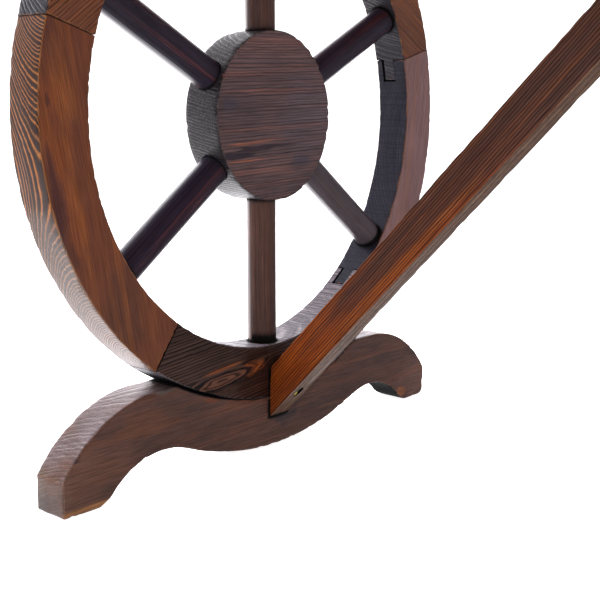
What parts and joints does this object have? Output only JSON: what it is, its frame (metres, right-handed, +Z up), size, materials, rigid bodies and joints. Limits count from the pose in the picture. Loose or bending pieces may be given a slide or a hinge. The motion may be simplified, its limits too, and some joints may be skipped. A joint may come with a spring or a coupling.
{
  "type": "wheel-ended trestle table",
  "caption": "Rustic trestle table with spoked wooden wheels for ends, bedded in scrolled feet, and diagonal braces rising to a batten under a plank top.",
  "frame": {"origin": "on the floor, under the middle of the table", "axes": "+X along the table, +Y from its front edge to its back edge, +Z up; the wheels stand in planes square to X and their braced faces look at the middle"},
  "size_m": [1.65, 0.7796, 0.758],
  "materials": {
    "rim_wood": "charred and brushed softwood, raised grain, satin",
    "foot_wood": "charred and brushed softwood, dark brown, satin",
    "hub_wood": "charred and brushed softwood, dark purplish brown, satin",
    "spoke_wood": "smooth dark dowel, satin",
    "brace_wood": "red-brown softwood with fine straight grain, satin",
    "bearer_wood": "charred and brushed softwood, dark brown, satin",
    "top_wood": "charred and brushed softwood boards, satin",
    "dowel_wood": "plain pale dowel",
    "brass": "bright",
    "steel": "zinc-plated"
  },
  "bodies": {
    "root": {"top_board_1": "top_wood", "top_board_2": "top_wood", "top_board_3": "top_wood", "top_board_4": "top_wood", "top_board_5": "top_wood", "top_dowels": "dowel_wood", "centre_batten": "bearer_wood", "batten_screws": "steel", "left_foot": "foot_wood", "left_bearer": "bearer_wood", "left_hub": "hub_wood", "left_brace": "brace_wood", "left_brace_dowels": "dowel_wood", "left_brace_screws": "brass", "left_wheel_screws": "steel", "left_bearer_screws": "steel", "right_foot": "foot_wood", "right_bearer": "bearer_wood", "right_hub": "hub_wood", "right_brace": "brace_wood", "right_brace_dowels": "dowel_wood", "right_brace_screws": "brass", "right_wheel_screws": "steel", "right_bearer_screws": "steel", "left_spoke_1": "spoke_wood", "left_spoke_2": "spoke_wood", "left_spoke_3": "spoke_wood", "left_spoke_4": "spoke_wood", "left_spoke_5": "spoke_wood", "left_spoke_6": "spoke_wood", "right_spoke_1": "spoke_wood", "right_spoke_2": "spoke_wood", "right_spoke_3": "spoke_wood", "right_spoke_4": "spoke_wood", "right_spoke_5": "spoke_wood", "right_spoke_6": "spoke_wood", "left_felloe_bottom": "rim_wood", "left_felloe_back": "rim_wood", "left_felloe_top_back": "rim_wood", "left_felloe_top_front": "rim_wood", "left_felloe_front": "rim_wood", "right_felloe_bottom": "rim_wood", "right_felloe_back": "rim_wood", "right_felloe_top_back": "rim_wood", "right_felloe_top_front": "rim_wood", "right_felloe_front": "rim_wood"}
  },
  "joints": []
}
